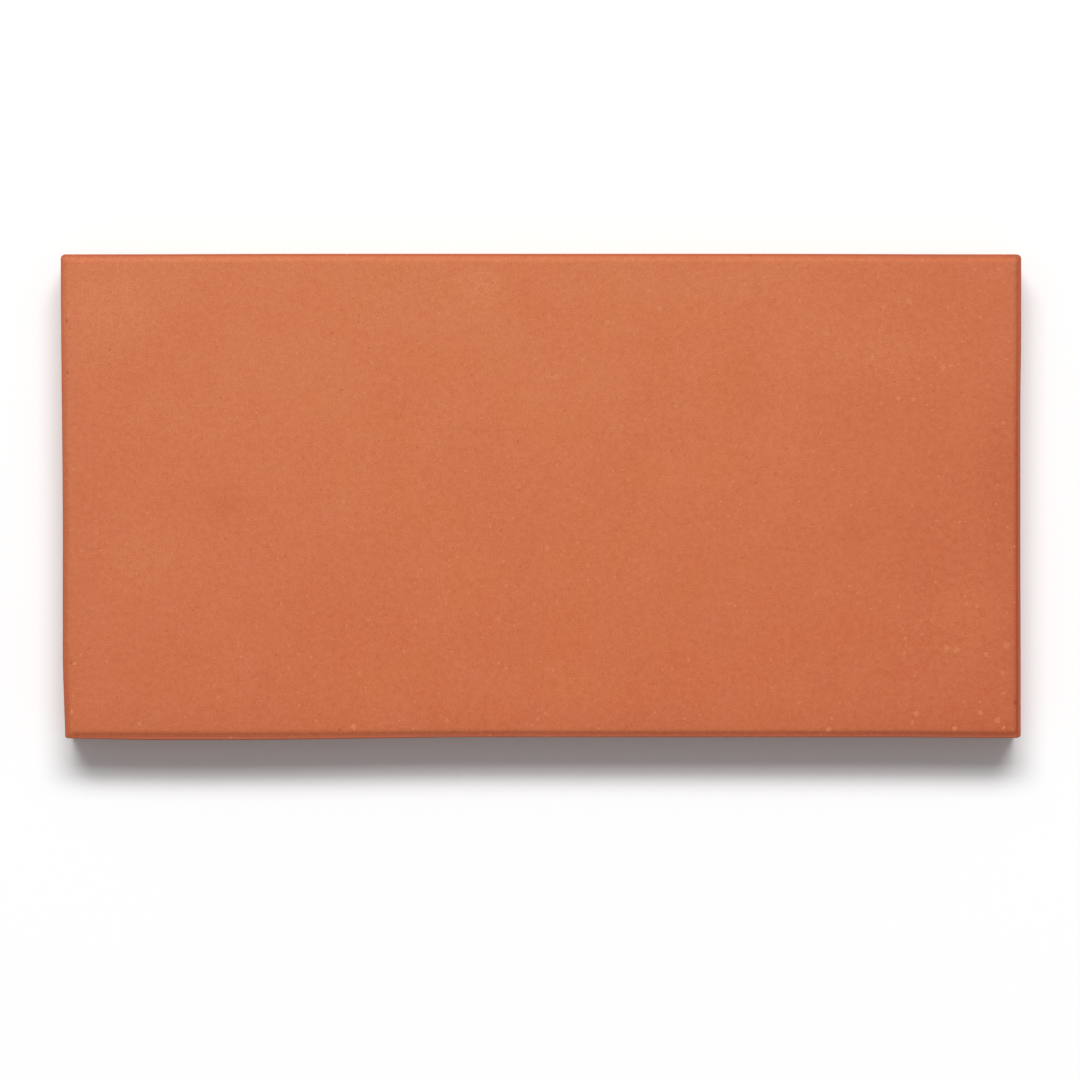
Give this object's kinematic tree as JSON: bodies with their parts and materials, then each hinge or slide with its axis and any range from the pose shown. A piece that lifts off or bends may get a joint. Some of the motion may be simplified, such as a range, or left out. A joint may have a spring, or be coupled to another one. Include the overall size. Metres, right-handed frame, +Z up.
{
  "type": "terracotta tile",
  "caption": "Flat rectangular unglazed terracotta tile with a rounded shoulder, a narrow ledge round the face and a grooved bed.",
  "frame": {"origin": "centre of the bed, the underside that lies in mortar or on the floor", "axes": "+X along the length, +Y across the width, +Z up out of the walking face"},
  "size_m": [0.3, 0.152, 0.015],
  "materials": {
    "terracotta": "unglazed matte fired clay, orange red, with a fine grain and sparse pale grog"
  },
  "bodies": {
    "root": {"tile": "terracotta"}
  },
  "joints": []
}
